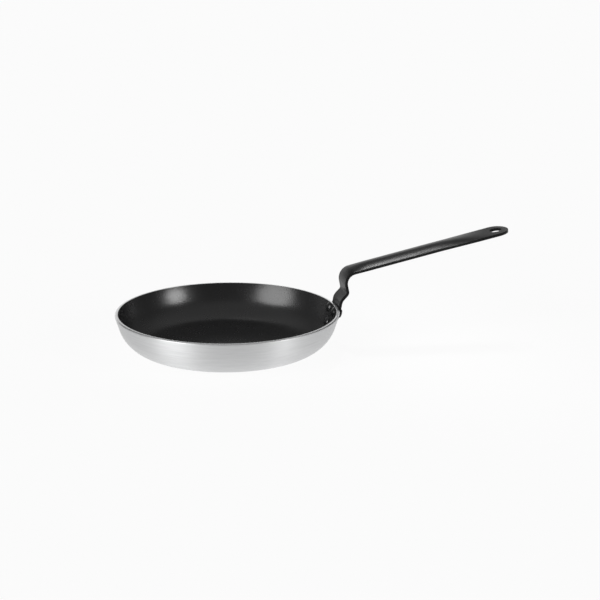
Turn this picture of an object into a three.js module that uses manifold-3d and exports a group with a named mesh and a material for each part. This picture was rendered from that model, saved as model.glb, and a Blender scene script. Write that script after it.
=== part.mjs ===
// A frying pan: a pressed aluminium body with a baked black coating inside, and a bent strip-steel
// handle held to the wall by three rivets. Millimetres and degrees, +Z up. The origin is at the
// middle of the base's underside and the handle runs along +X.
import * as THREE from "three";
import { mergeVertices } from "three/addons/utils/BufferGeometryUtils.js";
import Module from "manifold-3d";

// Pan body
const RIM_DIAMETER = 280;
const PAN_HEIGHT = 47.3;
const SHEET = 4; // thickness of the pressed sheet, base and wall alike
const CORNER_RADIUS = 43.5; // outside of the sweep from base to wall
const WALL_ANGLE = 72.5; // the straight wall above the sweep, measured from the table
const RIM_ROUND = 1.5; // outer edge of the turned rim
const COATING = 0.3; // thickness of the black layer
const BOND = 0.05; // between the layer and the sheet

// Handle strip, drawn along the face towards the pan, which becomes the grip's top
const STRIP_WIDTH = 32;
const STRIP_THICKNESS = 3.5;
const CLEAR_RISE = 1; // from the rim up to where the strip leaves the wall's slope
const CLEAR_ANGLE = 84;
const CLEAR_BEND = 15;
const LEAN_RISE = 8.5; // from the rim up to where it leans out
const LEAN_ANGLE = 46.9;
const LEAN_BEND = 14;
const KNEE_RISE = 17.4; // from the rim up to where it turns up again
const NECK_ANGLE = 101.3;
const KNEE_BEND = 4;
const CROOK_RISE = 41.3; // from the rim up to where neck and grip would meet
const GRIP_ANGLE = 11.61;
const CROOK_BEND = 15;
const HANDLE_REACH = 227.4; // level distance from the rim to the tip

// Arched grip, and the flat end that it runs out into
const GRIP_WIDTH = 38; // of the flat blank, along the grip and the end
const CROWN_RADIUS = 48; // top of the arched section
const CROWN_LIFT = 4.2; // crown above the line of the flat strip
const CROWN_RUN_IN = 22; // past the crook, until the arch is full
const END_FLAT = 22; // flat across at the tip
const END_RUN_OUT = 80; // over which the arch flattens
const END_LIFT = 0.5; // flat end above the line of the flat strip
const END_DROP = 1.3; // how far the tip curls under the line
const HANG_HOLE = 15;
const HANG_INSET = 16; // from the tip to the middle of the hole

// Rivets, and the foot of the handle that they hold
const UPPER_ROW = 8.2; // from the rim down the wall to the two upper rivets
const ROW_SPREAD = 24; // between the upper rivets
const LOWER_ROW = 25; // from the rim down the wall to the lower rivet
const EAR_RADIUS = 8.5; // of the foot's outline round each rivet
const SHANK_DIAMETER = 6;
const HEAD_DIAMETER = 12.4;
const HEAD_HEIGHT = 2.6;
const TAIL_DIAMETER = 11;
const TAIL_HEIGHT = 2.4;

// Clearances
const SEAT = 0.3; // between faces that lie against each other
const SHANK_PLAY = 0.3; // round a shank in its holes

// Fineness of the round shapes
const TURN_STEPS = 64; // round the pan
const RIVET_STEPS = 18; // round a rivet or a hole
const ARC_STEP = 8; // degrees between the points of an arc
const ACROSS_STEPS = 10; // across the strip
const STATION_GAP = 0.5; // least distance between two sections of the strip
const STATION_RUN = 5; // most distance where the strip's section changes
const WELD = 1e-4; // vertices closer than this are one

const { degToRad, lerp, smoothstep } = THREE.MathUtils;
const QUARTER = Math.PI / 2;

// Solids: a closed geometry becomes one that can be cut, without the flat faces left at a pole.
const wasm = await Module();
wasm.setup();

function solidOf(geometry) {
  const bare = geometry.clone();
  bare.deleteAttribute("normal");
  bare.deleteAttribute("uv");
  const merged = mergeVertices(bare, WELD);
  const corners = merged.index.array;
  const triVerts = [];
  for (let i = 0; i < corners.length; i += 3) {
    const triangle = [...corners.slice(i, i + 3)];
    if (new Set(triangle).size === triangle.length) {
      triVerts.push(...triangle);
    }
  }
  const mesh = new wasm.Mesh({
    numProp: 3,
    vertProperties: new Float32Array(merged.attributes.position.array),
    triVerts: new Uint32Array(triVerts),
  });
  return new wasm.Manifold(mesh);
}

function cut(geometry, cutters) {
  let solid = solidOf(geometry);
  for (const cutter of cutters) {
    solid = solid.subtract(solidOf(cutter));
  }
  const mesh = solid.getMesh();
  const result = new THREE.BufferGeometry();
  result.setAttribute("position", new THREE.BufferAttribute(new Float32Array(mesh.vertProperties), 3));
  result.setIndex([...mesh.triVerts]);
  result.computeVertexNormals();
  return result;
}

// Points of an arc from one angle to another, both ends included.
function arc(centre, radius, from, to) {
  const steps = Math.max(2, Math.ceil(Math.abs(to - from) / degToRad(ARC_STEP)));
  const points = [];
  for (let i = 0; i <= steps; i += 1) {
    const angle = lerp(from, to, i / steps);
    points.push(new THREE.Vector2(radius, 0).rotateAround(new THREE.Vector2(), angle).add(centre));
  }
  return points;
}

// Pan: the outside runs from the base through a sweep and a straight flare to a rounded rim.
const wall = degToRad(WALL_ANGLE);
const upWall = new THREE.Vector2(Math.cos(wall), Math.sin(wall));
const outOfWall = new THREE.Vector2(Math.sin(wall), -Math.cos(wall));
const rimCentre = new THREE.Vector2(RIM_DIAMETER / 2 - RIM_ROUND, PAN_HEIGHT - RIM_ROUND);
const underRim = rimCentre.clone().addScaledVector(outOfWall, RIM_ROUND);
const sweepTop = CORNER_RADIUS * (1 - Math.cos(wall));
const baseRadius = underRim.x - (underRim.y - sweepTop) / Math.tan(wall) - CORNER_RADIUS * Math.sin(wall);
const sweepCentre = new THREE.Vector2(baseRadius, CORNER_RADIUS);
const wallRun = (PAN_HEIGHT - sweepTop) / Math.sin(wall);
const inside = SHEET + BOND + COATING;

// The line a given depth under the outside, from the axis to the height of the rim.
function shellLine(depth) {
  const rimEdge = underRim.clone().addScaledVector(outOfWall, -depth);
  rimEdge.addScaledVector(upWall, (PAN_HEIGHT - rimEdge.y) / upWall.y);
  const sweep = arc(sweepCentre, CORNER_RADIUS - depth, -QUARTER, wall - QUARTER);
  return [new THREE.Vector2(0, depth), ...sweep, rimEdge];
}

function turned(profile) {
  return new THREE.LatheGeometry(profile, TURN_STEPS).rotateX(QUARTER);
}

function bodyGeometry() {
  const outside = shellLine(0).slice(0, -1);
  const rim = arc(rimCentre, RIM_ROUND, wall - QUARTER, QUARTER);
  return turned([...outside, ...rim, ...shellLine(SHEET).reverse()]);
}

function coatingGeometry() {
  return turned([...shellLine(SHEET + BOND), ...shellLine(inside).reverse()]);
}

// Handle line: runs and bends that follow on from each other, from the foot's lower tip to the grip's end.
const line = [];
const sweepRadius = CORNER_RADIUS + SEAT;
const footLength = LOWER_ROW + EAR_RADIUS;

// The place and slope on the wall's seat, measured down the wall from the rim.
function seatOnWall(down) {
  const straight = Math.max(0, wallRun - down);
  const angle = wall - Math.max(0, down - wallRun) / sweepRadius;
  const x = sweepCentre.x + sweepRadius * Math.sin(angle) + straight * upWall.x;
  const z = sweepCentre.y - sweepRadius * Math.cos(angle) + straight * upWall.y;
  return { x, z, angle };
}

function alongRun(run, distance) {
  const turn = run.turn * (distance / run.length);
  const chord = turn === 0 ? distance : (distance * Math.sin(turn / 2)) / (turn / 2);
  const heading = run.angle + turn / 2;
  return {
    u: run.u + distance,
    x: run.x + chord * Math.cos(heading),
    z: run.z + chord * Math.sin(heading),
    angle: run.angle + turn,
  };
}

function addRun(length, turn) {
  const last = line.at(-1);
  const start = last ? alongRun(last, last.length) : { u: 0, ...seatOnWall(footLength) };
  line.push({ ...start, length, turn });
}

function lineAt(u) {
  const run = line.findLast((candidate) => candidate.u <= u);
  return alongRun(run, u - run.u);
}

// Corners of the line above the rim, and how far before each one the strip starts to bend.
const angles = [WALL_ANGLE, CLEAR_ANGLE, LEAN_ANGLE, NECK_ANGLE, GRIP_ANGLE].map(degToRad);
const rises = [0, CLEAR_RISE, LEAN_RISE, KNEE_RISE, CROOK_RISE];
const bends = [CLEAR_BEND, LEAN_BEND, KNEE_BEND, CROOK_BEND];
const turns = bends.map((radius, i) => angles[i + 1] - angles[i]);
const setbacks = bends.map((radius, i) => radius * Math.tan(Math.abs(turns[i]) / 2));
const steps = bends.map((radius, i) => rises[i + 1] - rises[i]);
const crookX = steps.reduce((x, rise, i) => x + rise / Math.tan(angles[i]), seatOnWall(0).x);
const grip = angles.at(-1);
const tipX = RIM_DIAMETER / 2 + HANDLE_REACH - (END_DROP - END_LIFT) * Math.sin(grip);
const spans = [...steps.map((rise, i) => rise / Math.sin(angles[i])), (tipX - crookX) / Math.cos(grip)];

const footOnSweep = Math.max(0, footLength - wallRun);
if (footOnSweep > 0) {
  addRun(footOnSweep, footOnSweep / sweepRadius);
}
addRun(footLength - footOnSweep + spans[0] - setbacks[0], 0);
bends.forEach((radius, i) => {
  addRun(radius * Math.abs(turns[i]), turns[i]);
  addRun(spans[i + 1] - setbacks[i] - (setbacks[i + 1] ?? 0), 0);
});

// Places along the line where the strip's section changes.
const [kneeRun, , crookRun, gripRun] = line.slice(-4);
const crookStart = crookRun.u;
const crownFull = gripRun.u + CROWN_RUN_IN;
const lineEnd = gripRun.u + gripRun.length;
const flatStart = lineEnd - END_FLAT;
const crownEnd = flatStart - END_RUN_OUT;
const endCentre = lineEnd - GRIP_WIDTH / 2;
const hangAt = lineEnd - HANG_INSET;
const lowerAt = footLength - LOWER_ROW;
const upperAt = footLength - UPPER_ROW;
const flank = Math.atan2(ROW_SPREAD / 2, upperAt - lowerAt);

function roundHalf(u, centre, radius) {
  return Math.sqrt(Math.max(0, radius ** 2 - (u - centre) ** 2));
}

// The foot's outline goes round the lower rivet, straight to the upper ones, and round them to the strip.
function footHalf(u) {
  const lowerTangent = lowerAt - EAR_RADIUS * Math.sin(flank);
  const upperTangent = upperAt - EAR_RADIUS * Math.sin(flank);
  if (u < lowerTangent) {
    return roundHalf(u, lowerAt, EAR_RADIUS);
  }
  if (u < upperTangent) {
    return EAR_RADIUS * Math.cos(flank) + (u - lowerTangent) * Math.tan(flank);
  }
  const ear = u < upperAt + EAR_RADIUS ? ROW_SPREAD / 2 + roundHalf(u, upperAt, EAR_RADIUS) : 0;
  return Math.max(ear, STRIP_WIDTH / 2);
}

// The strip's section: half its width, how it curves across, and how far its middle lies under the line.
function sectionAt(u) {
  const widened = smoothstep(u, crookStart, crownFull);
  const arched = widened * (1 - smoothstep(u, crownEnd, flatStart));
  const hugging = 1 - smoothstep(u, footLength, kneeRun.u);
  const here = lineAt(u);
  const endHalf = roundHalf(u, endCentre, GRIP_WIDTH / 2);
  const half = u > endCentre ? endHalf : lerp(footHalf(u), GRIP_WIDTH / 2, widened);
  const curled = Math.max(0, (u - flatStart) / END_FLAT) ** 2;
  return {
    half,
    curve: arched / CROWN_RADIUS - (hugging * Math.sin(here.angle)) / here.x,
    drop: END_DROP * curled - lerp(END_LIFT * widened, CROWN_LIFT, arched),
  };
}

// A point of the strip: along its line, across its width, and down into its thickness.
function stripPoint(u, across, depth) {
  const { x, z, angle } = lineAt(u);
  const { curve, drop } = sectionAt(u);
  const turn = curve * across;
  const side = turn === 0 ? across : Math.sin(turn) / curve;
  const sag = turn === 0 ? 0 : (1 - Math.cos(turn)) / curve;
  const under = drop + sag + depth * Math.cos(turn);
  const y = side - depth * Math.sin(turn);
  return new THREE.Vector3(x + under * Math.sin(angle), y, z - under * Math.cos(angle));
}

// Where sections stand: round the ears and the end, along each bend, and where the section changes.
function stations() {
  const earTop = Math.acos(Math.min(1, (STRIP_WIDTH - ROW_SPREAD) / 2 / EAR_RADIUS));
  const rounds = [
    [lowerAt, EAR_RADIUS, -QUARTER, -flank],
    [upperAt, EAR_RADIUS, -flank, earTop],
    [endCentre, GRIP_WIDTH / 2, 0, QUARTER],
  ];
  const places = [];
  for (const [centre, radius, from, to] of rounds) {
    places.push(...arc(new THREE.Vector2(0, centre), radius, from, to).map((point) => point.y));
  }
  const changes = [[footLength, kneeRun.u], [crookStart, crownFull], [crownEnd, flatStart]];
  const stretches = changes.map(([from, to]) => [from, to, Math.ceil((to - from) / STATION_RUN)]);
  for (const run of line) {
    stretches.push([run.u, run.u + run.length, Math.ceil(Math.abs(run.turn) / degToRad(ARC_STEP)) || 1]);
  }
  for (const [from, to, count] of stretches) {
    for (let i = 0; i <= count; i += 1) {
      places.push(lerp(from, to, i / count));
    }
  }
  const kept = [0];
  for (const u of places.sort((a, b) => a - b)) {
    if (u - kept.at(-1) > STATION_GAP && lineEnd - u > STATION_GAP) {
      kept.push(u);
    }
  }
  return [...kept, lineEnd];
}

function stripGeometry() {
  const places = stations();
  const row = ACROSS_STEPS + 1;
  const positions = [];
  for (const u of places) {
    const { half } = sectionAt(u);
    for (const depth of [0, STRIP_THICKNESS]) {
      for (let j = 0; j < row; j += 1) {
        positions.push(...stripPoint(u, lerp(-half, half, j / ACROSS_STEPS), depth));
      }
    }
  }
  const index = [];
  const quad = (a, b, c, d) => index.push(a, b, c, a, c, d);
  for (let i = 0; i + 1 < places.length; i += 1) {
    const top = i * 2 * row;
    const bottom = top + row;
    const next = 2 * row;
    for (let j = 0; j < ACROSS_STEPS; j += 1) {
      quad(top + j, top + j + next, top + j + 1 + next, top + j + 1);
      quad(bottom + j, bottom + j + 1, bottom + j + 1 + next, bottom + j + next);
    }
    quad(top, bottom, bottom + next, top + next);
    quad(top + row - 1, top + row - 1 + next, bottom + row - 1 + next, bottom + row - 1);
  }
  const geometry = new THREE.BufferGeometry();
  geometry.setAttribute("position", new THREE.Float32BufferAttribute(positions, 3));
  geometry.setIndex(index);
  return geometry;
}

// A place on the strip with the direction out of its pan-side face.
function axisThrough(u, across) {
  const point = stripPoint(u, across, 0);
  const axis = point.clone().sub(stripPoint(u, across, STRIP_THICKNESS)).normalize();
  return { point, turn: new THREE.Quaternion().setFromUnitVectors(new THREE.Vector3(0, 1, 0), axis) };
}

// Rivets: name, distance along the strip, distance across it.
const rivets = [
  ["rivet_upper_left", upperAt, ROW_SPREAD / 2],
  ["rivet_upper_right", upperAt, -ROW_SPREAD / 2],
  ["rivet_lower", lowerAt, 0],
];

function holeCutter(u, across, diameter) {
  const { point, turn } = axisThrough(u, across);
  const length = 4 * (inside + STRIP_THICKNESS);
  const cutter = new THREE.CylinderGeometry(diameter / 2, diameter / 2, length, RIVET_STEPS);
  return cutter.applyQuaternion(turn).translate(...point);
}

// A domed head inside the pan, a shank, and a flatter tail formed on the handle's foot.
// The head stands off by the hollow of the wall under it.
function rivetGeometry(u) {
  const headRadius = HEAD_DIAMETER / 2;
  const tailRadius = TAIL_DIAMETER / 2;
  const hollowRadius = (footLength - u > wallRun ? CORNER_RADIUS : RIM_DIAMETER / 2) - inside;
  const headSeat = SEAT + inside + SEAT + headRadius ** 2 / (2 * hollowRadius);
  const tailSeat = -STRIP_THICKNESS - SEAT;
  const capRadius = (headRadius ** 2 + HEAD_HEIGHT ** 2) / (2 * HEAD_HEIGHT);
  const capAngle = Math.asin(headRadius / capRadius);
  const capCentre = new THREE.Vector2(0, headSeat + HEAD_HEIGHT - capRadius);
  const profile = [
    new THREE.Vector2(0, tailSeat - TAIL_HEIGHT),
    new THREE.Vector2(tailRadius - TAIL_HEIGHT / 2, tailSeat - TAIL_HEIGHT),
    new THREE.Vector2(tailRadius, tailSeat - TAIL_HEIGHT / 2),
    new THREE.Vector2(tailRadius, tailSeat),
    new THREE.Vector2(SHANK_DIAMETER / 2, tailSeat),
    new THREE.Vector2(SHANK_DIAMETER / 2, headSeat),
    ...arc(capCentre, capRadius, QUARTER - capAngle, QUARTER),
  ];
  profile.at(-1).x = 0;
  return new THREE.LatheGeometry(profile, RIVET_STEPS);
}

function named(name, geometry, color, roughness, metalness) {
  const mesh = new THREE.Mesh(geometry, new THREE.MeshStandardMaterial({ color, roughness, metalness }));
  mesh.name = name;
  return mesh;
}

// Assembly
const pan = new THREE.Group();
const shankHoles = rivets.map(([, u, across]) => holeCutter(u, across, SHANK_DIAMETER + 2 * SHANK_PLAY));
const hangHole = holeCutter(hangAt, 0, HANG_HOLE);
pan.add(named("pan_body", cut(bodyGeometry(), shankHoles), 0xc9cacb, 0.35, 1));
pan.add(named("nonstick_coating", cut(coatingGeometry(), shankHoles), 0x1d1d1e, 0.42, 0));
pan.add(named("handle", cut(stripGeometry(), [...shankHoles, hangHole]), 0x222324, 0.48, 0));
for (const [name, u, across] of rivets) {
  const { point, turn } = axisThrough(u, across);
  const rivet = named(name, rivetGeometry(u), 0x2a2a2b, 0.3, 0.4);
  rivet.position.copy(point);
  rivet.quaternion.copy(turn);
  pan.add(rivet);
}

export default pan;
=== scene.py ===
# A frying pan's looks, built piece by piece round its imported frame.
# Metres, +Z up, with the origin under the middle of the base and the handle along +X.
import math
from collections import namedtuple

import bmesh
import bpy
from mathutils import Matrix, Vector


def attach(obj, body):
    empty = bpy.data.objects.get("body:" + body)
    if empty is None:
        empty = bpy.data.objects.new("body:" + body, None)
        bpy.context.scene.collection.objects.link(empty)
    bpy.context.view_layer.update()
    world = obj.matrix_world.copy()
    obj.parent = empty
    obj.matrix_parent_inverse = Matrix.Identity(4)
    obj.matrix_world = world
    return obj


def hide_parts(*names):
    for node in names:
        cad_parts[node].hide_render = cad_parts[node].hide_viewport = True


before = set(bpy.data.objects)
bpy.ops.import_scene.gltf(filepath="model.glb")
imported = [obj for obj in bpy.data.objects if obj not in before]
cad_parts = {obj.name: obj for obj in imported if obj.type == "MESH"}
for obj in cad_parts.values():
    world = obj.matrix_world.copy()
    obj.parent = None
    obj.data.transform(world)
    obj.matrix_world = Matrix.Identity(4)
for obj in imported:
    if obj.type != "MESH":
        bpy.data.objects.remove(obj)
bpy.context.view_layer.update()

# Pan body: one disc of 4 mm aluminium, pressed to a flat base, a round sweep and a flared wall that bows
# out a little inside. The outside is turned on a lathe, which leaves fine rings and streaks, and the rim
# is turned flat and left bare.
MM = 0.001
RIM_RADIUS = 140 * MM
PAN_HEIGHT = 47.3 * MM
SHEET = 4 * MM
SWEEP_RADIUS = 43.5 * MM
WALL_SLOPE = math.radians(72.5)
RIM_ROUND = 1.5 * MM
RIM_CHAMFER = 0.25 * MM
BOW_START = math.radians(66)
SWEEP_STEPS = 28
BOW_STEPS = 14
RIM_STEPS = 8
TURN_STEPS = 240
WELD = 0.001 * MM
TRUE_EDGE = math.radians(32)

rim_centre = (RIM_RADIUS - RIM_ROUND, PAN_HEIGHT - RIM_ROUND)
under_rim = (
    rim_centre[0] + RIM_ROUND * math.sin(WALL_SLOPE),
    rim_centre[1] - RIM_ROUND * math.cos(WALL_SLOPE),
)
sweep_top = SWEEP_RADIUS * (1 - math.cos(WALL_SLOPE))
wall_foot = under_rim[0] - (under_rim[1] - sweep_top) / math.tan(WALL_SLOPE)
base_radius = wall_foot - SWEEP_RADIUS * math.sin(WALL_SLOPE)
sweep_centre = (base_radius, SWEEP_RADIUS)

rim_top = under_rim[0] + (PAN_HEIGHT - under_rim[1]) / math.tan(WALL_SLOPE)
rim_inside = rim_top - SHEET / math.sin(WALL_SLOPE)
bow_foot = (
    base_radius + (SWEEP_RADIUS - SHEET) * math.sin(BOW_START),
    SWEEP_RADIUS - (SWEEP_RADIUS - SHEET) * math.cos(BOW_START),
)
bow_chord = math.dist(bow_foot, (rim_inside, PAN_HEIGHT))
bow_turn = 2 * (math.asin((PAN_HEIGHT - bow_foot[1]) / bow_chord) - BOW_START)
bow_radius = SHEET + bow_chord / 2 / math.sin(bow_turn / 2)
bow_centre = (
    bow_foot[0] - (bow_radius - SHEET) * math.sin(BOW_START),
    bow_foot[1] + (bow_radius - SHEET) * math.cos(BOW_START),
)


def draw_to(bm, x, z):
    """Draws a straight line on from the last point of a half section."""
    bm.verts.ensure_lookup_table()
    if not bm.verts:
        bm.verts.new((x, 0, z))
        return
    made = bmesh.ops.extrude_vert_indiv(bm, verts=[bm.verts[-1]])["verts"][0]
    made.co = (x, 0, z)


def swing_round(bm, centre, angle, steps):
    """Draws an arc on from the last point, anticlockwise seen with X to the right and Z up."""
    bm.verts.ensure_lookup_table()
    middle = (centre[0], 0, centre[1])
    bmesh.ops.spin(bm, geom=[bm.verts[-1]], cent=middle, axis=(0, -1, 0), angle=angle, steps=steps)


def bow_slope(depth, height):
    """Slope of the inner wall, which bows out slightly, a given depth under the outside."""
    return math.acos((bow_centre[1] - height) / (bow_radius - depth))


def bow_out(height):
    """How far the bowed inner wall lies outside a straight one, square to it."""
    straight = rim_inside - (PAN_HEIGHT - height) / math.tan(WALL_SLOPE)
    bowed = bow_centre[0] + (bow_radius - SHEET) * math.sin(bow_slope(SHEET, height))
    return (bowed - straight) * math.sin(WALL_SLOPE)


def climb_inside(bm, depth):
    """Draws an inner face from the middle of the floor up to the rim."""
    draw_to(bm, 0, depth)
    draw_to(bm, base_radius, depth)
    swing_round(bm, sweep_centre, BOW_START, SWEEP_STEPS)
    swing_round(bm, bow_centre, bow_slope(depth, PAN_HEIGHT) - BOW_START, BOW_STEPS)


def descend_inside(bm, depth, top):
    """Draws an inner face from a height on the wall down to the middle of the floor."""
    slope = bow_slope(depth, top)
    draw_to(bm, bow_centre[0] + (bow_radius - depth) * math.sin(slope), top)
    swing_round(bm, bow_centre, BOW_START - slope, BOW_STEPS)
    swing_round(bm, sweep_centre, -BOW_START, SWEEP_STEPS)
    draw_to(bm, 0, depth)


def turn_on_lathe(bm, steps):
    """Spins a half section into a closed round body."""
    bmesh.ops.spin(
        bm,
        geom=bm.verts[:] + bm.edges[:],
        cent=(0, 0, 0),
        axis=(0, 0, 1),
        angle=2 * math.pi,
        steps=steps,
        use_merge=True,
    )
    bmesh.ops.remove_doubles(bm, verts=bm.verts[:], dist=WELD)
    bmesh.ops.recalc_face_normals(bm, faces=bm.faces[:])


def piece(bm, name, finish, node):
    """A finished piece in place of its CAD node, smooth but for its true edges."""
    for face in bm.faces:
        face.smooth = True
    for edge in bm.edges:
        edge.smooth = edge.calc_face_angle(0) < TRUE_EDGE
    mesh = bpy.data.meshes.new(name)
    bm.to_mesh(mesh)
    bm.free()
    mesh.materials.append(finish)
    made = bpy.data.objects.new(name, mesh)
    bpy.context.scene.collection.objects.link(made)
    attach(made, "root")
    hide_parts(node)
    return made


class Wire:
    """A socket in a tree of nodes. Sums, products and powers of it add Math nodes."""

    def __init__(self, tree, socket=None):
        self.tree = tree
        self.socket = socket

    def node(self, kind, settings=None, inputs=None, output=0):
        made = self.tree.nodes.new(kind)
        for name, value in (settings or {}).items():
            setattr(made, name, value)
        for key, value in (inputs or {}).items():
            if isinstance(value, Wire):
                self.tree.links.new(value.socket, made.inputs[key])
            else:
                made.inputs[key].default_value = value
        return Wire(self.tree, made.outputs[output])

    def maths(self, operation, *values):
        return self.node("ShaderNodeMath", {"operation": operation}, dict(enumerate(values)))

    def __add__(self, other):
        return self.maths("ADD", self, other)

    def __radd__(self, other):
        return self.maths("ADD", other, self)

    def __sub__(self, other):
        return self.maths("SUBTRACT", self, other)

    def __rsub__(self, other):
        return self.maths("SUBTRACT", other, self)

    def __mul__(self, other):
        return self.maths("MULTIPLY", self, other)

    def __rmul__(self, other):
        return self.maths("MULTIPLY", other, self)

    def __truediv__(self, other):
        return self.maths("DIVIDE", self, other)

    def __pow__(self, other):
        return self.maths("POWER", self, other)


def new_finish(name):
    """A named material, its shader and the place on its surface."""
    finish = bpy.data.materials.new(name)
    finish.use_nodes = True
    place = Wire(finish.node_tree).node("ShaderNodeTexCoord", output="Object")
    return finish, finish.node_tree.nodes["Principled BSDF"], place


def feed(shader, **values):
    """Links wires to the shader's sockets, and sets plain numbers on the sockets themselves."""
    for name, value in values.items():
        socket = shader.inputs[name.replace("_", " ")]
        if isinstance(value, Wire):
            value.tree.links.new(value.socket, socket)
        else:
            socket.default_value = value


def split(place):
    """The x, y and z of a place."""
    parts = place.node("ShaderNodeSeparateXYZ", {}, {0: place}).socket.node.outputs
    return [Wire(place.tree, part) for part in parts]


def joined(x, y, z):
    """A place made of an x, a y and a z."""
    return x.node("ShaderNodeCombineXYZ", {}, {0: x, 1: y, 2: z})


def blended(share, low, high):
    """A colour between two, by a share that varies."""
    return share.node("ShaderNodeMix", {"data_type": "RGBA"}, {0: share, 6: low, 7: high}, output=2)


def grain(place, scale, detail):
    """Noise about as wide as one over its scale, in the units of the place."""
    return place.node("ShaderNodeTexNoise", {}, {"Vector": place, "Scale": scale, "Detail": detail})


def bumped(height, strength, depth):
    """A surface that a grain makes uneven, to a depth in metres."""
    return height.node("ShaderNodeBump", {}, {"Strength": strength, "Distance": depth, "Height": height})


DULL_ALUMINIUM = (0.56, 0.564, 0.568, 1)
BRIGHT_ALUMINIUM = (0.76, 0.764, 0.768, 1)
TURNED_ROUGHNESS = 0.5
RINGS_PER_METRE = 1900
RING_DEPTH = 0.03 * MM
STREAKS_PER_METRE = 300
STREAKS_ROUND = 4
CLIMB_SHARE = 1.7
OFF_AXIS = 0.1 * MM

turned_aluminium, shader, place = new_finish("turned_aluminium")
x, y, z = split(place)
radius = (x * x + y * y) ** 0.5 + OFF_AXIS
along_section = radius + CLIMB_SHARE * z
round_x = x / radius
round_y = y / radius
rings = joined(along_section * RINGS_PER_METRE, round_x, round_y)
streaks = joined(along_section * STREAKS_PER_METRE, round_x * STREAKS_ROUND, round_y * STREAKS_ROUND)
fine = grain(rings, 1, 3)
broad = grain(streaks, 1, 2)
feed(
    shader,
    Base_Color=blended(fine * 0.5 + broad * 0.8 - 0.15, DULL_ALUMINIUM, BRIGHT_ALUMINIUM),
    Roughness=TURNED_ROUGHNESS + 0.12 * (fine - 0.5) + 0.08 * (broad - 0.5),
    Normal=bumped(fine, 0.25, RING_DEPTH),
    Metallic=1,
    Anisotropic=0.82,
    Anisotropic_Rotation=0.25,
)

DULL_RIM = (0.72, 0.724, 0.728, 1)
BRIGHT_RIM = (0.88, 0.884, 0.888, 1)
RIM_ROUGHNESS = 0.24
RIM_RINGS_PER_METRE = 2500
RIM_STREAKS_PER_METRE = 12

bare_rim, shader, place = new_finish("bare_rim")
x, y = split(place)[:2]
radius = (x * x + y * y) ** 0.5
rings = joined(radius * RIM_RINGS_PER_METRE, x * RIM_STREAKS_PER_METRE, y * RIM_STREAKS_PER_METRE)
fine = grain(rings, 1, 3)
feed(
    shader,
    Base_Color=blended(fine, DULL_RIM, BRIGHT_RIM),
    Roughness=RIM_ROUGHNESS + 0.12 * (fine - 0.5),
    Metallic=1,
)

section = bmesh.new()
draw_to(section, 0, 0)
draw_to(section, base_radius, 0)
swing_round(section, sweep_centre, WALL_SLOPE, SWEEP_STEPS)
draw_to(section, *under_rim)
swing_round(section, rim_centre, math.pi - WALL_SLOPE, RIM_STEPS)
draw_to(section, rim_inside + RIM_CHAMFER, PAN_HEIGHT)
descend_inside(section, SHEET, PAN_HEIGHT - RIM_CHAMFER)
turn_on_lathe(section, TURN_STEPS)
for face in section.faces:
    face.material_index = int(face.calc_center_median().z > PAN_HEIGHT - RIM_ROUND / 2)
body = piece(section, "pressed_body", turned_aluminium, "pan_body")
body.data.materials.append(bare_rim)

# Non-stick coating: a black layer sprayed inside the body and baked on, up to the bare rim.
# It is satin, with the fine orange peel that spraying leaves.
COATING = 0.3 * MM
BOND = 0.05 * MM
BLACK_COATING = (0.007, 0.007, 0.0073, 1)
GREY_COATING = (0.013, 0.013, 0.0133, 1)
COATING_ROUGHNESS = 0.26
PEEL_PER_METRE = 420
PEEL_DEPTH = 0.1 * MM
COATING_CLOUDS_PER_METRE = 45

nonstick, shader, place = new_finish("baked_nonstick")
peel = grain(place, PEEL_PER_METRE, 2)
cloud = grain(place, COATING_CLOUDS_PER_METRE, 3)
feed(
    shader,
    Base_Color=blended(0.6 * peel + 0.4 * cloud, BLACK_COATING, GREY_COATING),
    Roughness=COATING_ROUGHNESS + 0.08 * (cloud - 0.5) + 0.06 * (peel - 0.5),
    Normal=bumped(peel, 0.7, PEEL_DEPTH),
    Specular_IOR_Level=0.62,
)

inside = SHEET + BOND + COATING
section = bmesh.new()
climb_inside(section, SHEET + BOND)
descend_inside(section, inside, PAN_HEIGHT)
turn_on_lathe(section, TURN_STEPS)
piece(section, "sprayed_coating", nonstick, "nonstick_coating")

# Handle: one strip of 3.5 mm steel, punched flat, bent at the neck, pressed to an arch along the grip
# and baked black. Its foot hugs the wall, and its flat end has a hole to hang it by.
STRIP = 3.5 * MM
STRIP_HALF = 16 * MM
SEAT = 0.3 * MM
LOWER_ROW = 25 * MM
UPPER_ROW = 8.2 * MM
ROW_SPREAD = 24 * MM
EAR_RADIUS = 8.5 * MM
CORNER_RISES = [0, 1 * MM, 8.5 * MM, 17.4 * MM, 41.3 * MM]
CORNER_BENDS = [15 * MM, 14 * MM, 4 * MM, 15 * MM]
RUN_SLOPES = [WALL_SLOPE, *(math.radians(slope) for slope in (84, 46.9, 101.3, 11.61))]
REACH = 227.4 * MM
GRIP_HALF = 19 * MM
CROWN_RADIUS = 48 * MM
CROWN_LIFT = 4.2 * MM
CROWN_RUN_IN = 22 * MM
END_FLAT = 22 * MM
END_RUN_OUT = 80 * MM
END_LIFT = 0.5 * MM
END_DROP = 1.3 * MM
HANG_RADIUS = 7.5 * MM
HANG_INSET = 16 * MM
EDGE_ROUND = 0.19 * MM
EDGE_STEPS = 3
SQUARE_EDGE = math.radians(60)

foot_length = LOWER_ROW + EAR_RADIUS
wall_run = (PAN_HEIGHT - sweep_top) / math.sin(WALL_SLOPE)
seat_sweep = SWEEP_RADIUS + SEAT


def on_wall(down):
    """Place and slope of the wall's seat, measured down the wall from the rim."""
    straight = max(0, wall_run - down)
    slope = WALL_SLOPE - max(0, down - wall_run) / seat_sweep
    x = base_radius + seat_sweep * math.sin(slope) + straight * math.cos(WALL_SLOPE)
    z = SWEEP_RADIUS - seat_sweep * math.cos(slope) + straight * math.sin(WALL_SLOPE)
    return x, z, slope


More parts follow.
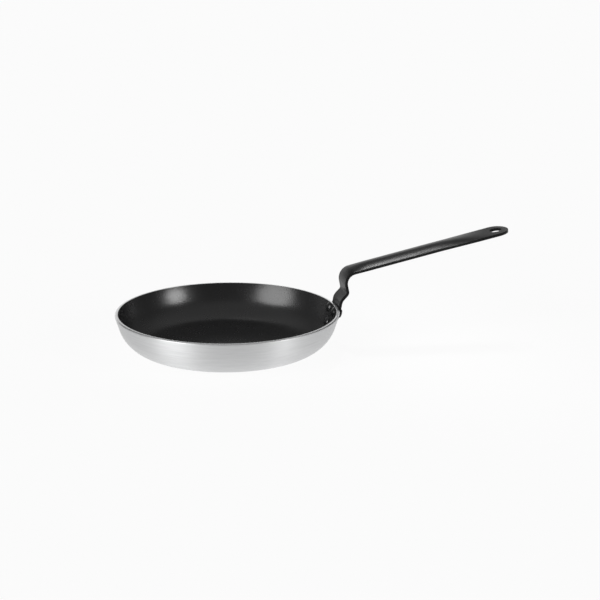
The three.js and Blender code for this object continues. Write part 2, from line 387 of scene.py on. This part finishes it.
Run = namedtuple("Run", "start x z slope length turn")
on_sweep = foot_length - wall_run
runs = [Run(0, *on_wall(foot_length), on_sweep, on_sweep / seat_sweep)]


def along_run(run, distance):
    """Place and slope some way along a straight run or a bend."""
    half_turn = run.turn * distance / run.length / 2
    chord = distance * math.sin(half_turn) / half_turn if half_turn else distance
    heading = run.slope + half_turn
    x = run.x + chord * math.cos(heading)
    z = run.z + chord * math.sin(heading)
    return x, z, run.slope + 2 * half_turn


def add_run(length, turn):
    """Takes the strip on from where its last run ends."""
    last = runs[-1]
    runs.append(Run(last.start + last.length, *along_run(last, last.length), length, turn))


turns = [after - before for before, after in zip(RUN_SLOPES, RUN_SLOPES[1:])]
setbacks = [bend * math.tan(abs(turn) / 2) for bend, turn in zip(CORNER_BENDS, turns)]
setbacks.append(0)
rises = [high - low for low, high in zip(CORNER_RISES, CORNER_RISES[1:])]
crook_x = on_wall(0)[0] + sum(rise / math.tan(slope) for rise, slope in zip(rises, RUN_SLOPES))
tip_x = RIM_RADIUS + REACH - (END_DROP - END_LIFT) * math.sin(RUN_SLOPES[-1])
spans = [rise / math.sin(slope) for rise, slope in zip(rises, RUN_SLOPES)]
spans.append((tip_x - crook_x) / math.cos(RUN_SLOPES[-1]))
add_run(wall_run + spans[0] - setbacks[0], 0)
for i, bend in enumerate(CORNER_BENDS):
    add_run(bend * abs(turns[i]), turns[i])
    add_run(spans[i + 1] - setbacks[i] - setbacks[i + 1], 0)

knee_start = runs[-4].start
crook_start = runs[-2].start
grip_start = runs[-1].start
strip_end = grip_start + runs[-1].length
flat_start = strip_end - END_FLAT
crown_end = flat_start - END_RUN_OUT
end_centre = strip_end - GRIP_HALF
lower_at = foot_length - LOWER_ROW
upper_at = foot_length - UPPER_ROW
flank = math.atan2(ROW_SPREAD / 2, upper_at - lower_at)
lower_tangent = lower_at - EAR_RADIUS * math.sin(flank)
upper_tangent = upper_at - EAR_RADIUS * math.sin(flank)


def ease(value, low, high):
    """Goes smoothly from 0 at the low end to 1 at the high end."""
    share = min(1, max(0, (value - low) / (high - low)))
    return share * share * (3 - 2 * share)


def widened(u):
    """How far the strip has gone from its neck to its grip, from 0 to 1."""
    return ease(u, crook_start, grip_start + CROWN_RUN_IN)


def arched(u):
    """How far the strip is pressed to its arch, from 0 to 1."""
    return widened(u) * (1 - ease(u, crown_end, flat_start))


def blank_half(u):
    """Half the width of the flat blank: foot, ears, neck and grip."""
    if u < upper_tangent:
        return EAR_RADIUS * math.cos(flank) + (u - lower_tangent) * math.tan(flank)
    ear = EAR_RADIUS**2 - (u - upper_at) ** 2
    foot = ROW_SPREAD / 2 + math.sqrt(ear) if ear > 0 else 0
    neck = max(foot, STRIP_HALF)
    return neck + (GRIP_HALF - neck) * widened(u)


def bent(u, across, depth=0):
    """Where a point of the blank lies once the strip is bent and pressed."""
    run = [run for run in runs if run.start <= u][-1]
    x, z, slope = along_run(run, u - run.start)
    hugging = 1 - ease(u, foot_length, knee_start)
    curve = arched(u) / CROWN_RADIUS - hugging * math.sin(slope) / x
    turn = curve * across
    side = math.sin(turn) / curve if curve else across
    sag = (1 - math.cos(turn)) / curve if curve else 0
    curled = max(0, (u - flat_start) / END_FLAT) ** 2
    flat_lift = END_LIFT * widened(u)
    lift = flat_lift + (CROWN_LIFT - flat_lift) * arched(u)
    under = END_DROP * curled - lift + sag + depth * math.cos(turn)
    return Vector((x + under * math.sin(slope), side - depth * math.sin(turn), z - under * math.cos(slope)))


CAP_COLUMNS = 5
COLUMN_LENGTH = 0.8 * MM
TAB_COLUMNS = 40
ROWS = 24
HOLE_RING = 0.4

neck_length = strip_end - 2 * GRIP_HALF - lower_tangent
neck_columns = round(neck_length / COLUMN_LENGTH)
tab_start = CAP_COLUMNS + neck_columns
columns = tab_start + TAB_COLUMNS


def cap_place(back, side):
    """Along and across the strip, on the round end of its foot."""
    ring = max(back, abs(side))
    angle = math.atan2(side, back)
    offset = lower_at - lower_tangent
    reach = math.sqrt(EAR_RADIUS**2 - (offset * math.sin(angle)) ** 2) - offset * math.cos(angle)
    return lower_tangent - ring * reach * math.cos(angle), ring * reach * math.sin(angle)


def tab_ahead(column):
    """How far a column of the hanging end lies ahead of the end's middle, from -1 to 1."""
    return 2 * (column - tab_start) / TAB_COLUMNS - 1


def tab_place(ahead, side):
    """Along and across the strip, on the hanging end, in rings from its hole out to its edge."""
    share = (max(abs(ahead), abs(side)) - HOLE_RING) / (1 - HOLE_RING)
    size = math.hypot(ahead, side)
    radius = HANG_RADIUS + (GRIP_HALF - HANG_RADIUS) * share
    u = radius * ahead / size
    across = radius * side / size
    if ahead < 0:
        u += share * (GRIP_HALF * ahead - u)
        across += share * (GRIP_HALF * side - across)
    return end_centre + (GRIP_HALF - HANG_INSET) * (1 - share) + u, across


def blank_place(column, row):
    """Where a crossing of the blank's grid lies on the punched strip: along it and across it."""
    side = 2 * row / ROWS - 1
    if column < CAP_COLUMNS:
        return cap_place(1 - column / CAP_COLUMNS, side)
    if column > tab_start:
        return tab_place(tab_ahead(column), side)
    u = lower_tangent + neck_length * (column - CAP_COLUMNS) / neck_columns
    return u, side * blank_half(u)


blank = bmesh.new()
bmesh.ops.create_grid(blank, x_segments=columns, y_segments=ROWS, size=1)
punched = []
for face in blank.faces:
    middle = face.calc_center_median()
    ahead = tab_ahead((middle.x + 1) / 2 * columns)
    if max(abs(ahead), abs(middle.y)) < HOLE_RING:
        punched.append(face)
bmesh.ops.delete(blank, geom=punched, context="FACES")
for vert in blank.verts:
    column = round((vert.co.x + 1) / 2 * columns)
    row = round((vert.co.y + 1) / 2 * ROWS)
    vert.co = bent(*blank_place(column, row))
blank.normal_update()
bmesh.ops.solidify(blank, geom=blank.faces[:], thickness=STRIP)
bmesh.ops.recalc_face_normals(blank, faces=blank.faces[:])
bmesh.ops.bevel(
    blank,
    geom=[edge for edge in blank.edges if edge.calc_face_angle(0) > SQUARE_EDGE],
    offset=EDGE_ROUND,
    segments=EDGE_STEPS,
    profile=0.5,
    affect="EDGES",
    material=-1,
    clamp_overlap=True,
)

BLACK_STEEL = (0.005, 0.005, 0.0052, 1)
GREY_STEEL = (0.011, 0.011, 0.0113, 1)
STEEL_ROUGHNESS = 0.3
STEEL_GRAIN_PER_METRE = 1300
STEEL_GRAIN_DEPTH = 0.05 * MM
STEEL_CLOUDS_PER_METRE = 60

baked_black, shader, place = new_finish("baked_black")
texture = grain(place, STEEL_GRAIN_PER_METRE, 2)
cloud = grain(place, STEEL_CLOUDS_PER_METRE, 3)
feed(
    shader,
    Base_Color=blended(0.6 * texture + 0.4 * cloud, BLACK_STEEL, GREY_STEEL),
    Roughness=STEEL_ROUGHNESS + 0.1 * (cloud - 0.5) + 0.08 * (texture - 0.5),
    Normal=bumped(texture, 0.4, STEEL_GRAIN_DEPTH),
    Specular_IOR_Level=0.1,
)
piece(blank, "bent_handle", baked_black, "handle")

# Rivets: three solid rivets through foot, wall and coating. The domed heads inside the pan are coated
# black, and the tails are hammered flat on the handle's foot.
SHANK_RADIUS = 3 * MM
HEAD_RADIUS = 6.2 * MM
HEAD_HEIGHT = 2.6 * MM
HEAD_STEPS = 12
SKIRT = 0.35 * MM
TAIL_RADIUS = 5.5 * MM
TAIL_HEIGHT = 2.4 * MM
TAIL_STEPS = 6
RIVET_TURN_STEPS = 48
BLACK_RIVET = (0.006, 0.006, 0.0063, 1)
GREY_RIVET = (0.016, 0.016, 0.0165, 1)
RIVET_ROUGHNESS = 0.2
RIVET_GRAIN_PER_METRE = 900
RIVET_GRAIN_DEPTH = 0.04 * MM

coated_rivet, shader, place = new_finish("coated_rivet")
texture = grain(place, RIVET_GRAIN_PER_METRE, 2)
feed(
    shader,
    Base_Color=blended(texture, BLACK_RIVET, GREY_RIVET),
    Roughness=RIVET_ROUGHNESS + 0.1 * (texture - 0.5),
    Normal=bumped(texture, 0.25, RIVET_GRAIN_DEPTH),
)

dome_radius = (HEAD_RADIUS**2 + HEAD_HEIGHT**2) / (2 * HEAD_HEIGHT)
tail_seat = -STRIP - SEAT
tail_round = TAIL_HEIGHT / 2
tail_centre = (TAIL_RADIUS - tail_round, tail_seat - tail_round)
for name, node, u, across in (
    ("left_upper_rivet", "rivet_upper_left", upper_at, ROW_SPREAD / 2),
    ("right_upper_rivet", "rivet_upper_right", upper_at, -ROW_SPREAD / 2),
    ("middle_lower_rivet", "rivet_lower", lower_at, 0),
):
    down = foot_length - u
    on_bow = down < wall_run
    hollow = (RIM_RADIUS if on_bow else SWEEP_RADIUS) - inside
    bowed = bow_out(on_wall(down)[1]) if on_bow else 0
    head_seat = SEAT + inside - bowed + SEAT + HEAD_RADIUS**2 / (2 * hollow)
    rivet = bmesh.new()
    draw_to(rivet, 0, tail_seat - TAIL_HEIGHT)
    draw_to(rivet, TAIL_RADIUS - tail_round, tail_seat - TAIL_HEIGHT)
    swing_round(rivet, tail_centre, math.pi / 2, TAIL_STEPS)
    draw_to(rivet, TAIL_RADIUS, tail_seat)
    draw_to(rivet, SHANK_RADIUS, tail_seat)
    draw_to(rivet, SHANK_RADIUS, head_seat - SKIRT)
    draw_to(rivet, HEAD_RADIUS - SKIRT, head_seat - SKIRT)
    draw_to(rivet, HEAD_RADIUS, head_seat)
    dome_centre = (0, head_seat + HEAD_HEIGHT - dome_radius)
    swing_round(rivet, dome_centre, math.asin(HEAD_RADIUS / dome_radius), HEAD_STEPS)
    rivet.verts.ensure_lookup_table()
    rivet.verts[-1].co.x = 0
    turn_on_lathe(rivet, RIVET_TURN_STEPS)
    point = bent(u, across)
    axis = (point - bent(u, across, STRIP)).normalized()
    placed = Matrix.Translation(point) @ axis.to_track_quat("Z", "Y").to_matrix().to_4x4()
    bmesh.ops.transform(rivet, matrix=placed, verts=rivet.verts[:])
    piece(rivet, name, coated_rivet, node)

# Camera: it stands where the photograph was taken from, and looks down on the pan through a long lens.
# Its angles are from square on to the handle, and from level.
CAMERA_SIDE = math.radians(-14)
CAMERA_HEIGHT = math.radians(15.788)
CAMERA_DISTANCE = 2.323
CAMERA_AIM = Vector((0.09196, -0.00616, 0.05755))
SENSOR_IN_MM = 36
LENS_IN_MM = 111

lens = bpy.data.cameras.new("camera")
lens.sensor_width = SENSOR_IN_MM
lens.lens = LENS_IN_MM
camera = bpy.data.objects.new("camera", lens)
forward = Vector(
    (
        -math.cos(CAMERA_HEIGHT) * math.sin(CAMERA_SIDE),
        math.cos(CAMERA_HEIGHT) * math.cos(CAMERA_SIDE),
        -math.sin(CAMERA_HEIGHT),
    )
)
camera.location = CAMERA_AIM - CAMERA_DISTANCE * forward
camera.rotation_euler = forward.to_track_quat("-Z", "Y").to_euler()
bpy.context.scene.collection.objects.link(camera)
bpy.context.scene.camera = camera
bpy.context.scene.view_settings.view_transform = "Standard"

# Floor: a wide sheet of pale paper. It shows almost white to the camera and in reflections, and keeps
# the pan's shadow, but its own glow doesn't light the pan.
FLOOR_RADIUS = 40
FLOOR_SIDES = 96
FLOOR_GLOW = 0.92
DULL_PAPER = (0.94, 0.94, 0.94, 1)
BRIGHT_PAPER = (0.96, 0.96, 0.96, 1)
PAPER_GRAIN_PER_METRE = 3
WHITE = (1, 1, 1, 1)
SEEN_BY = ("Is Camera Ray", "Is Glossy Ray", "Is Transmission Ray")


def shown(place):
    """1 for what is seen, directly or in a reflection or through glass, and 0 for what lights the pan."""
    seen, mirrored, through = (place.node("ShaderNodeLightPath", output=kind) for kind in SEEN_BY)
    return place.maths("MAXIMUM", seen, place.maths("MAXIMUM", mirrored, through))


paper, shader, place = new_finish("floor_paper")
feed(
    shader,
    Base_Color=blended(grain(place, PAPER_GRAIN_PER_METRE, 2), DULL_PAPER, BRIGHT_PAPER),
    Roughness=0.9,
    Specular_IOR_Level=0.1,
)
lit = Wire(place.tree, shader.outputs[0])
glow = place.node("ShaderNodeEmission", {}, {"Color": WHITE, "Strength": 1})
surface = place.node("ShaderNodeMixShader", {}, {0: FLOOR_GLOW * shown(place), 1: lit, 2: glow})
place.tree.links.new(surface.socket, place.tree.nodes["Material Output"].inputs["Surface"])

ground = bmesh.new()
bmesh.ops.create_circle(ground, cap_ends=True, segments=FLOOR_SIDES, radius=FLOOR_RADIUS)
mesh = bpy.data.meshes.new("studio_floor")
ground.to_mesh(mesh)
ground.free()
mesh.materials.append(paper)
floor = bpy.data.objects.new("studio_floor", mesh)
bpy.context.scene.collection.objects.link(floor)

# Lights: a large soft one low on each side, and a narrow strip behind that draws the streak along the grip.
# Their angles are in degrees, to the camera's right and up from level.
STRIP_LIGHT_SIDE = 194
STRIP_LIGHT_HEIGHT = 57
STRIP_LIGHT_AIM = Vector((0.255, 0, 0.11))
STRIP_LIGHT_DISTANCE = 1.6
STRIP_LIGHT_WIDTH = 0.12
STRIP_LIGHT_LENGTH = 0.32
STRIP_LIGHT_SPREAD = math.radians(13)
STRIP_LIGHT_POWER = 0.085


def direction(side, height):
    """The way from the pan towards a light."""
    bearing = CAMERA_SIDE - math.pi / 2 + math.radians(side)
    return Vector((math.cos(bearing), math.sin(bearing), math.tan(math.radians(height)))).normalized()


def hang_light(name, kind, towards):
    """A new light that shines back along the way towards it."""
    light = bpy.data.objects.new(name, bpy.data.lights.new(name, kind))
    light.rotation_euler = towards.to_track_quat("Z", "Y").to_euler()
    bpy.context.scene.collection.objects.link(light)
    return light


for name, side, height, width, level in (
    ("left_light", -54, 20.5, 40, 0.6),
    ("right_light", 62, 18, 20, 0.3),
):
    light = hang_light(name, "SUN", direction(side, height))
    light.data.energy = math.pi * level
    light.data.angle = math.radians(width)

towards = direction(STRIP_LIGHT_SIDE, STRIP_LIGHT_HEIGHT)
light = hang_light("handle_light", "AREA", towards)
light.location = STRIP_LIGHT_AIM + STRIP_LIGHT_DISTANCE * towards
light.visible_camera = False
light.data.shape = "RECTANGLE"
light.data.size = STRIP_LIGHT_WIDTH
light.data.size_y = STRIP_LIGHT_LENGTH
light.data.spread = STRIP_LIGHT_SPREAD
light.data.energy = STRIP_LIGHT_POWER

# Room: dim walls under a paler ceiling, with a white backdrop low behind the pan that shows in reflections.
# Each edge is soft, between two limits on how far a direction of length 1 goes back or up.
BACKDROP_SIDE = math.radians(-8)
BACKDROP_EDGE = (0.79, 0.88)
BACKDROP_TOP = (0.275, 0.365)
CEILING_EDGE = (0.47, 0.87)
DIM_WALLS = (0.17, 0.17, 0.17, 1)
PALE_CEILING = (0.4, 0.4, 0.4, 1)


def between(value, limits):
    """Goes smoothly from 0 at the low limit to 1 at the high one, in the room's nodes."""
    inputs = {"Value": value, "From Min": limits[0], "From Max": limits[1]}
    return value.node("ShaderNodeMapRange", {"interpolation_type": "SMOOTHSTEP"}, inputs)


room = bpy.data.worlds.new("dim_room")
room.use_nodes = True
outwards = Wire(room.node_tree).node("ShaderNodeTexCoord", output="Generated")
rise = split(outwards)[2]
behind = (-math.sin(BACKDROP_SIDE), math.cos(BACKDROP_SIDE), 0)
facing = outwards.node(
    "ShaderNodeVectorMath",
    {"operation": "DOT_PRODUCT"},
    {0: outwards, 1: behind},
    output="Value",
)
backdrop = between(facing, BACKDROP_EDGE) * (1 - between(rise, BACKDROP_TOP))
ceiling = blended(between(rise, CEILING_EDGE), DIM_WALLS, PALE_CEILING)
shade = blended(backdrop * shown(outwards), ceiling, WHITE)
room.node_tree.links.new(shade.socket, room.node_tree.nodes["Background"].inputs["Color"])
bpy.context.scene.world = room
